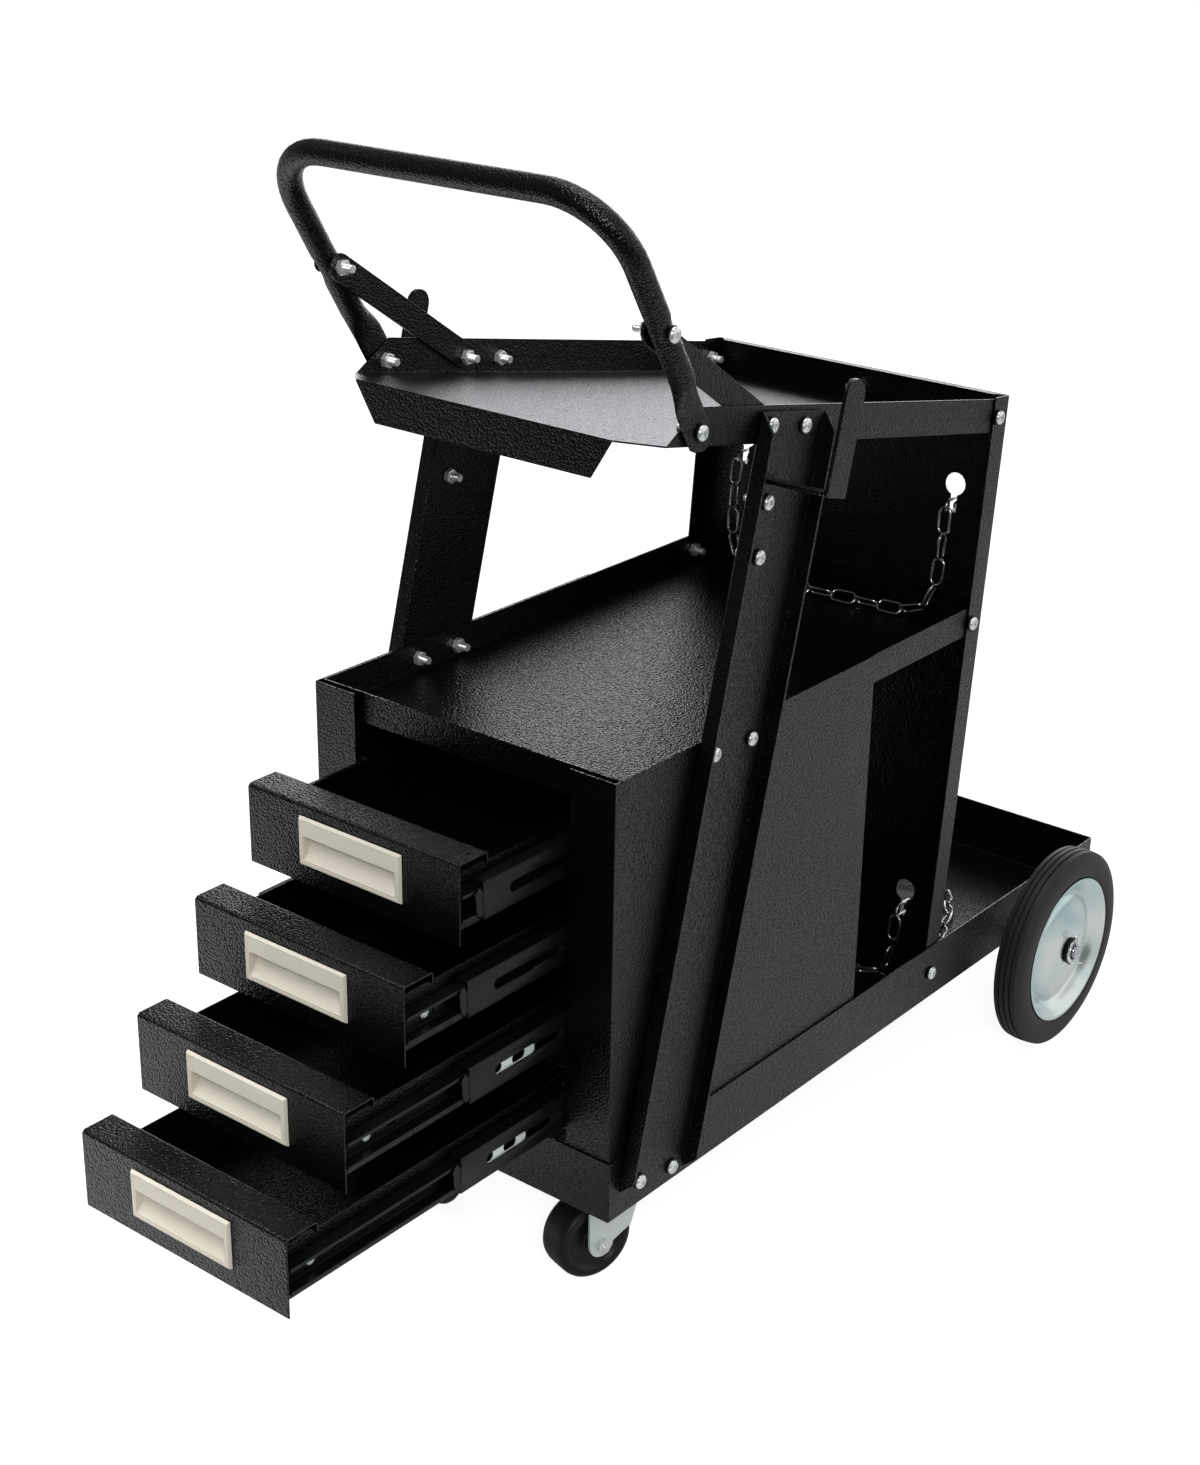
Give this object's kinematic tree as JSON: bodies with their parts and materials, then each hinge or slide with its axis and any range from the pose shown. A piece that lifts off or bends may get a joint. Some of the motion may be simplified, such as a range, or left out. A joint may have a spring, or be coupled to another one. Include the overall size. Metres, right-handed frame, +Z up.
{
  "type": "welding cart",
  "caption": "Black sheet metal welding cart with pull-out drawers, a shelf, a sloping top tray, cable hangers, a bent tube handle and a rear bottle tray with chains.",
  "frame": {"origin": "on the floor, under the middle of the cart's box with the drawers open as at rest", "axes": "+Z up, +Y from the drawers and handle to the bottle tray, +X to the right seen from the front with the drawers facing the viewer"},
  "size_m": [0.3918, 0.97, 0.8286],
  "materials": {
    "black_paint": "glossy textured powder coat",
    "slide_black": "satin black coated steel",
    "zinc": "bright zinc plate",
    "tyre": "matte rubber",
    "caster_rubber": "satin rubber",
    "ivory": "satin moulded plastic",
    "chain_steel": "bright welded chain"
  },
  "bodies": {
    "cart_frame": {"base_pan": "black_paint", "left_side_panel": "black_paint", "right_side_panel": "black_paint", "left_runner_panel": "black_paint", "right_runner_panel": "black_paint", "middle_shelf": "black_paint", "rear_panel": "black_paint", "top_tray": "black_paint", "left_leg": "black_paint", "right_leg": "black_paint", "left_hanger": "black_paint", "right_hanger": "black_paint", "handle": "black_paint", "left_handle_brace": "black_paint", "right_handle_brace": "black_paint", "rear_axle": "zinc", "left_wheel_retainer": "zinc", "right_wheel_retainer": "zinc", "left_caster_plate": "zinc", "right_caster_plate": "zinc", "upper_chain": "chain_steel", "lower_chain": "chain_steel"},
    "drawer_1_stage": {"left_slide_1_middle": "slide_black", "right_slide_1_middle": "slide_black"},
    "drawer_1": {"drawer_1_box": "black_paint", "drawer_1_front": "black_paint", "drawer_1_pull": "ivory", "left_slide_1_member": "slide_black", "right_slide_1_member": "slide_black"},
    "drawer_2_stage": {"left_slide_2_middle": "slide_black", "right_slide_2_middle": "slide_black"},
    "drawer_2": {"drawer_2_box": "black_paint", "drawer_2_front": "black_paint", "drawer_2_pull": "ivory", "left_slide_2_member": "slide_black", "right_slide_2_member": "slide_black"},
    "drawer_3_stage": {"left_slide_3_middle": "slide_black", "right_slide_3_middle": "slide_black"},
    "drawer_3": {"drawer_3_box": "black_paint", "drawer_3_front": "black_paint", "drawer_3_pull": "ivory", "left_slide_3_member": "slide_black", "right_slide_3_member": "slide_black"},
    "drawer_4_stage": {"left_slide_4_middle": "slide_black", "right_slide_4_middle": "slide_black"},
    "drawer_4": {"drawer_4_box": "black_paint", "drawer_4_front": "black_paint", "drawer_4_pull": "ivory", "left_slide_4_member": "slide_black", "right_slide_4_member": "slide_black"},
    "right_caster_swivel": {"right_caster_fork": "zinc", "right_caster_axle": "zinc"},
    "right_caster_roller": {"right_caster_wheel": "caster_rubber"},
    "right_rear_wheel": {"right_tyre": "tyre", "right_wheel_disc": "zinc"},
    "left_caster_swivel": {"left_caster_fork": "zinc", "left_caster_axle": "zinc"},
    "left_caster_roller": {"left_caster_wheel": "caster_rubber"},
    "left_rear_wheel": {"left_tyre": "tyre", "left_wheel_disc": "zinc"}
  },
  "joints": [
    {"name": "drawer_1_stage_slide", "type": "slide", "parent": "cart_frame", "child": "drawer_1_stage", "axis": [0, -1, 0], "range_m": [-0.088, 0.052]},
    {"name": "drawer_1_slide", "type": "slide", "parent": "drawer_1_stage", "child": "drawer_1", "axis": [0, -1, 0], "range_m": [-0.0185, 0.1465]},
    {"name": "drawer_2_stage_slide", "type": "slide", "parent": "cart_frame", "child": "drawer_2_stage", "axis": [0, -1, 0], "range_m": [-0.104, 0.036]},
    {"name": "drawer_2_slide", "type": "slide", "parent": "drawer_2_stage", "child": "drawer_2", "axis": [0, -1, 0], "range_m": [-0.0555, 0.1095]},
    {"name": "drawer_3_stage_slide", "type": "slide", "parent": "cart_frame", "child": "drawer_3_stage", "axis": [0, -1, 0], "range_m": [-0.103, 0.037]},
    {"name": "drawer_3_slide", "type": "slide", "parent": "drawer_3_stage", "child": "drawer_3", "axis": [0, -1, 0], "range_m": [-0.1125, 0.0525]},
    {"name": "drawer_4_stage_slide", "type": "slide", "parent": "cart_frame", "child": "drawer_4_stage", "axis": [0, -1, 0], "range_m": [-0.112, 0.028]},
    {"name": "drawer_4_slide", "type": "slide", "parent": "drawer_4_stage", "child": "drawer_4", "axis": [0, -1, 0], "range_m": [-0.1565, 0.0085]},
    {"name": "right_caster_turn", "type": "hinge", "parent": "cart_frame", "child": "right_caster_swivel", "pos_m": [0.08, -0.136, 0.06], "axis": [0, 0, 1], "continuous": true},
    {"name": "right_caster_roll", "type": "hinge", "parent": "right_caster_swivel", "child": "right_caster_roller", "pos_m": [0.07392, -0.15714, 0.0325], "axis": [0.9611, -0.2764, 0], "continuous": true},
    {"name": "right_rear_wheel_roll", "type": "hinge", "parent": "cart_frame", "child": "right_rear_wheel", "pos_m": [0.166, 0.381, 0.089], "axis": [1, 0, 0], "continuous": true},
    {"name": "left_caster_turn", "type": "hinge", "parent": "cart_frame", "child": "left_caster_swivel", "pos_m": [-0.08, -0.136, 0.06], "axis": [0, 0, 1], "continuous": true},
    {"name": "left_caster_roll", "type": "hinge", "parent": "left_caster_swivel", "child": "left_caster_roller", "pos_m": [-0.07392, -0.15714, 0.0325], "axis": [0.9611, 0.2764, 0], "continuous": true},
    {"name": "left_rear_wheel_roll", "type": "hinge", "parent": "cart_frame", "child": "left_rear_wheel", "pos_m": [-0.166, 0.381, 0.089], "axis": [1, 0, 0], "continuous": true}
  ]
}
